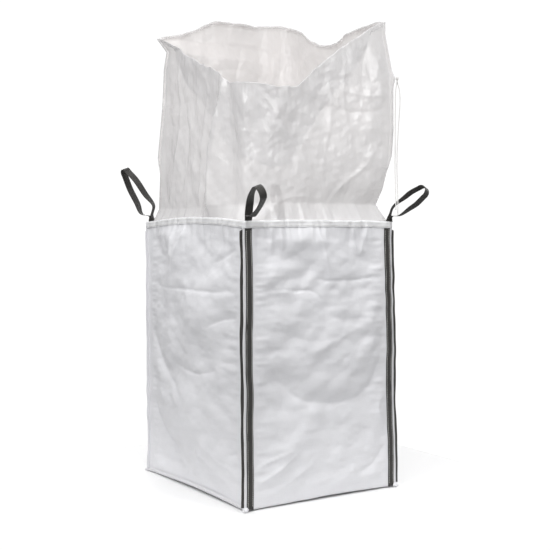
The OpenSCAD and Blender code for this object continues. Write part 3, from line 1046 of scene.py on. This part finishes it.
def add_seam_ends():
    """The seam of each lip ends at the corner in a tuft of folded cloth."""
    for number, (corner, (sx, sy)) in enumerate(CORNERS.items()):
        x, y = corner_at(corner, 0.01)
        centre = (float(x) + sx * 0.006, float(y) + sy * 0.004, 0.0125)
        tuft = lump(f"seam_end_{corner}", centre, (0.016, 0.012, 0.0115), CLOTH, 80 + number, 0.25)
        place(tuft, "cloth")


add_seam_ends()


# ---- Skirt ----

# Height of the mouth round the bag: (place, height), the place in faces from the front corner
RIM = [
    (0.0, 2.04), (0.33, 2.02), (0.45, 2.11), (0.62, 2.22), (0.80, 2.31), (1.0, 2.41), (1.25, 2.40),
    (1.47, 2.34), (1.62, 2.37), (1.80, 2.48), (2.0, 2.52), (2.6, 2.50), (2.8, 2.42), (3.0, 2.38),
    (3.22, 2.26), (3.48, 2.18), (3.72, 2.09), (3.78, 2.05), (4.0, 2.04)
]
# How far each corner of the skirt is drawn in along both walls, by height
DRAWN_IN = {
    "front": [(1.38, 0.006), (1.45, 0.012), (2.5, 0.012)],
    "right": [(1.38, 0.012), (1.47, 0.055), (1.55, 0.030), (1.66, 0.012), (1.85, 0.004), (2.12, 0.006),
              (2.34, 0.035), (2.42, 0.035)],
    "back": [(1.38, 0.006), (2.5, 0.012)],
    "left": [(1.38, 0.012), (1.45, 0.036), (1.74, 0.045), (2.0, 0.064), (2.2, 0.070), (2.3, 0.082),
             (2.38, 0.040)],
}
# How far each corner of the skirt is rounded. Those with a seam are sharp
FILM_ROUND = {"front": 0.20, "right": 0.0, "back": 0.26, "left": 0.0}
# The corners with a seam, and their places in faces from the front corner
SEAMS = {"right": 1.0, "left": 3.0}
LEAST_ROUND = 0.012     # added to the radius of every corner
CORNER_PULL = 0.25      # share of its radius by which a corner is drawn in
FILM_Z = 1.375          # the film's lower edge, inside the hem band
FLANGE = 0.018          # width of a seam's flange
SKIRT_ROUND = 4 * (HALF_W + HALF_D)


def rim_at(t):
    """Height of the mouth, smoothed over the table's steps."""
    t = np.asarray(t, float)
    total = 0.0
    for shift in (-0.05, -0.025, 0.0, 0.025, 0.05):
        total = total + between(RIM, (t + shift) % 4) / 5
    ragged = 0.009 * smooth_noise(t / 0.07, 0.5, 505) + 0.005 * smooth_noise(t / 0.03, 0.5, 506)
    return total + ragged * np.abs(np.sin(np.pi * t))


def film_corner(corner, z):
    sx, sy = CORNERS[corner]
    pull = between(DRAWN_IN[corner], z)
    return sx * (HALF_W - 0.004 - pull), sy * (HALF_D - 0.006 - pull)


# Creases in the film, in metres round the skirt from the front corner and up: (route, width, height)
FILM_CREASES = [
    ([(3.635, 1.40), (3.635, 1.65), (3.605, 1.88), (3.55, 2.06)], 0.011, 0.018),
    ([(3.47, 1.40), (3.46, 1.75), (3.49, 1.92), (3.53, 2.06)], 0.011, 0.014),
    ([(3.32, 1.40), (3.30, 1.70), (3.34, 2.10)], 0.045, 0.014),
    ([(3.05, 1.42), (3.14, 1.75), (3.02, 2.10)], 0.04, -0.014),
    ([(2.95, 1.45), (3.02, 1.90), (2.95, 2.25)], 0.03, 0.014),
    ([(0.10, 2.00), (0.25, 1.80), (0.42, 1.62), (0.55, 1.45)], 0.03, 0.010),
    ([(0.85, 1.82), (0.74, 1.66), (0.60, 1.55), (0.52, 1.42)], 0.03, 0.012),
    ([(0.86, 1.95), (0.66, 1.93), (0.45, 1.96)], 0.02, -0.009),
    ([(0.86, 2.02), (0.70, 2.02), (0.52, 2.05)], 0.02, 0.008),
    ([(0.50, 2.12), (0.52, 1.90), (0.46, 1.60)], 0.025, 0.010),
    ([(0.80, 2.30), (0.72, 2.12), (0.76, 1.90)], 0.03, -0.012),
    ([(0.62, 2.20), (0.60, 2.00), (0.66, 1.75)], 0.025, 0.010),
    ([(0.10, 1.42), (0.30, 1.50), (0.50, 1.49)], 0.02, 0.007),
    ([(1.45, 2.34), (1.35, 2.10), (1.42, 1.70)], 0.04, -0.016),
    ([(2.20, 2.44), (2.30, 2.20), (2.25, 1.80)], 0.05, 0.014),
    ([(2.00, 2.38), (2.25, 2.40), (2.50, 2.36)], 0.03, -0.010),
    ([(2.02, 2.20), (2.30, 2.25), (2.55, 2.20)], 0.03, 0.010),
    ([(2.75, 2.36), (2.60, 2.10), (2.66, 1.80)], 0.04, 0.016),
]


# A broad pleat beside the front corner, which ends in a point under the mouth: (height, place round the skirt)
# of its four lines, and how far it stands out
PLEAT_LINES = [
    [(1.40, 3.33), (2.06, 3.46)],
    [(1.40, 3.47), (1.75, 3.46), (1.92, 3.49), (2.06, 3.53)],
    [(1.40, 3.635), (1.65, 3.635), (1.88, 3.605), (2.06, 3.55)],
    [(1.40, 3.78), (1.65, 3.78), (2.06, 3.72)],
]
PLEAT_HEIGHT = [(1.38, 0.0), (1.46, 0.044), (1.80, 0.044), (2.06, 0.012), (2.16, 0.0)]


def slack_film(s, z):
    """Film that was folded up small: soft waves, flat facets between sharp creases, and gathers at the hem."""
    waves = 0.007 * smooth_noise(s / 0.16, z / 0.55, 501) + 0.002 * smooth_noise(s / 0.07, z / 0.35, 502)
    facets = 0.0042 * crumple(s, z, 0.12, 512, 5) + 0.0021 * crumple(s, z, 0.048, 529, 6)
    gather = smooth_noise(s / 0.022, z / 0.2, 531) + 0.6 * smooth_noise(s / 0.05, z / 0.25, 532)
    gather = 0.004 * gather * np.exp(-(z - FILM_Z) / 0.10)
    return soft_step(FILM_Z, FILM_Z + 0.12, z) * (waves + facets) + gather


def film_relief(s, z):
    """How far the film stands out of the skirt's plain walls."""
    free = soft_step(FILM_Z, FILM_Z + 0.12, z)
    closing = soft_step(SKIRT_ROUND - 0.25, SKIRT_ROUND, s)
    total = slack_film(s, z) * (1 - closing) + slack_film(s - SKIRT_ROUND, z) * closing
    for route, wide, height in FILM_CREASES:
        total = total + free * crease(s, z, route, 0.6 * wide, 0.5 * height)
    lines = [between(line, z) for line in PLEAT_LINES]
    steps = [np.clip((s - a) / (b - a), 0, 1) for a, b in zip(lines, lines[1:])]
    return total + between(PLEAT_HEIGHT, z) * (steps[0] - 1.6 * steps[1] + 0.6 * steps[2])


def film_point(t, z, out=0.0):
    """Points on the skirt: t is the place in faces from the front corner."""
    t, z, out = np.broadcast_arrays(np.asarray(t, float), np.asarray(z, float), np.asarray(out, float))
    result = np.zeros(t.shape + (3,))
    starts = np.cumsum([0] + [face_width(f) for f in RING_FACES])
    for number, face in enumerate(RING_FACES):
        here = (np.floor(np.clip(t % 4, 0, 3.999999)).astype(int) == number)
        if not here.any():
            continue
        left, right, facing = FACES[face]
        share, height = (t[here] % 4) - number, z[here]
        width = face_width(face)
        (ax, ay), (bx, by) = film_corner(left, height), film_corner(right, height)
        x, y = ax + (bx - ax) * share, ay + (by - ay) * share
        ends = ((left, share * width), (right, (1 - share) * width))
        for corner, distance in ends:
            radius = FILM_ROUND[corner] * soft_step(FILM_Z - 0.05, FILM_Z + 0.10, height) + LEAST_ROUND
            pull = CORNER_PULL * radius * np.clip(1 - distance / radius, 0, 1) ** 2
            sx, sy = CORNERS[corner]
            x, y = x - sx * pull, y - sy * pull
        seam = next(distance for corner, distance in ends if corner in SEAMS)
        stand = film_relief(starts[number] + share * width, height) * soft_step(0, 0.07, seam) + out[here]
        stand = stand - 0.018 * np.sin(np.pi * share) * soft_step(1.5, 1.9, height)
        away_x, away_y = np.full(x.shape, float(facing[0])), np.full(x.shape, float(facing[1]))
        for corner, distance in ends:
            if corner not in SEAMS:
                turned = 0.5 * (1 - soft_step(0, 0.6 * FILM_ROUND[corner], distance))
                across = np.array(CORNERS[corner]) - np.array(facing)
                away_x = away_x * (1 - turned) + across[0] * turned
                away_y = away_y * (1 - turned) + across[1] * turned
        size = np.hypot(away_x, away_y)
        result[here] = np.stack([x + away_x / size * stand, y + away_y / size * stand, height], -1)
    return result


def seam_point(corner, z, out):
    """Points out along the diagonal from a seam corner of the skirt."""
    sx, sy = CORNERS[corner]
    x, y = film_corner(corner, z)
    pull = CORNER_PULL * LEAST_ROUND
    along = np.array([sx * HALF_W, sy * HALF_D]) / DIAGONAL
    sway = 0.004 * smooth_noise(z / 0.09, 0.5, 541 + sx) * np.asarray(out) / FLANGE
    side = np.array([-along[1], along[0]])
    return np.stack(np.broadcast_arrays(x - sx * pull + along[0] * out + side[0] * sway,
                                        y - sy * pull + along[1] * out + side[1] * sway, z), -1)


def tab(z, corner):
    """The flange of the right-hand seam is wider where the tie cord is tacked to it."""
    if corner != "right":
        return 1.0
    return 1.0 + 0.5 * np.exp(-((z - 2.112) / 0.03) ** 2)


def tucked(t):
    """Length of film folded in at the mouth: the cut is level, and the near side stands lower."""
    t = np.asarray(t, float) % 4
    from_seam = np.minimum(*(np.abs((t - seam + 2) % 4 - 2) for seam in SEAMS.values()))
    near = (t < SEAMS["right"]) | (t > SEAMS["left"])
    return np.where(near, 0.85 * np.maximum(MOUTH_Z - rim_at(t), 0) * soft_step(0.0, 0.2, from_seam), 0.0)


def tuck_point(t, depth, out=0.0):
    """Points on the film folded in at the mouth, depth metres below the fold."""
    z = rim_at(t) - depth
    loose = 0.010 * smooth_noise(t / 0.13, depth / 0.2, 551) + 0.008 * crumple(t * 0.95, depth, 0.09, 556)
    inward = 0.006 + 0.055 * soft_step(0, 0.3, depth) + loose * soft_step(0.0, 0.08, depth)
    return film_point(t, z, out - inward)


def add_skirt_half(half, seams, material):
    """Half of the skirt from one seam to the other, with the flanges of both seams."""
    start = SEAMS[seams[0]]
    end = start + 2
    t = np.linspace(start, end, int(round((end - start) * 0.95 / 0.008)) + 1)
    q = np.linspace(0, 1, 135)[:, None]
    z = FILM_Z + (rim_at(t)[None, :] - FILM_Z) * q
    middle = film_point(t[None, :], z)
    if half == "front":
        tuck = np.linspace(0, 1, 36)[1:, None] * tucked(t)[None, :]
        middle = np.concatenate([middle, tuck_point(t[None, :], tuck)])
    middle = middle[:, 1:-1]
    parts = []
    for corner, place_t in zip(seams, (start, end)):
        seam_z = FILM_Z + (rim_at(np.array([place_t])) - FILM_Z) * q
        steps = np.array([1.0, 0.66, 0.33, 0.0]) * FLANGE
        growth = soft_step(1.62, 1.74, seam_z)
        width = steps[None, :] * growth * tab(seam_z, corner) + 0.0004
        flange = seam_point(corner, seam_z, width)
        flange[..., 1] += 0.0007 if half == "back" else -0.0007
        # the film folded in has no flange of its own: there the top row repeats, a hair lower each time
        extra = len(middle) - len(flange)
        drop = np.arange(1, extra + 1)[:, None, None] * [0, 0, 0.0001]
        flange = np.concatenate([flange, flange[-1:] - drop])
        parts.append(flange if place_t == start else flange[:, ::-1])
    points = np.concatenate([parts[0], middle, parts[1]], 1)
    uv = sheet_uv(run_along(points[60]), run_along(points[:, len(t) // 2]))
    film = sheet_mesh(f"skirt_{half}_half_film", points, uv, material, FILM_T)
    place(film, "film", f"skirt_{half}_half")
    let_down(film)
    return film


FILM_FRONT = add_skirt_half("front", ("left", "right"), FILM)
FILM_BACK = add_skirt_half("back", ("right", "left"), FAR_FILM_PAINTED_SHADE)


def add_mouth_hem():
    """The mouth's edge, folded over: a narrow doubled strip along the rim, folded in on the near side."""
    t = np.linspace(0, 4, 480, endpoint=False)
    depth = tucked(t)
    rows = []
    profile = [(0.026, 0.0028), (0.020, 0.0036), (0.010, 0.0036), (0.002, 0.0030), (-0.002, 0.0),
               (0.002, -0.0030), (0.012, -0.0036)]
    for drop, out in profile:
        upright = film_point(t, rim_at(t) - drop, out)
        folded = tuck_point(t, np.maximum(depth - drop, 0), out)
        share = soft_step(0.02, 0.06, depth)[:, None]
        rows.append(upright * (1 - share) + folded * share)
    points = np.array(rows)
    uv = sheet_uv(np.append(run_along(points[2]), SKIRT_ROUND), np.arange(len(rows)) * 0.006)
    hem = sheet_mesh("skirt_mouth_hem_film", points, uv, HEM_FILM, FILM_T, wrap=True)
    place(hem, "film", "skirt_mouth_hem", body="mouth")
    let_down(hem)
    return hem


MOUTH_HEM = add_mouth_hem()


def add_seam_stitching():
    """A line of stitches down each flange of the skirt."""
    routes = []
    for corner, place_t in SEAMS.items():
        z = spaced(1.72, float(rim_at(np.array([place_t]))[0]) - 0.03, ROW)
        line = seam_point(corner, z, np.full(z.shape, FLANGE * 0.6))
        line[:, 1] -= 0.0016
        routes.append((line, np.tile([0, -1.0, 0], (len(z), 1))))
    thread = stitches("skirt_seam_stitching_thread", routes, THREAD, 0.006, 0.003, 0.0008)
    place(thread, "thread", "skirt_seam_stitching")
    let_down(thread)


add_seam_stitching()
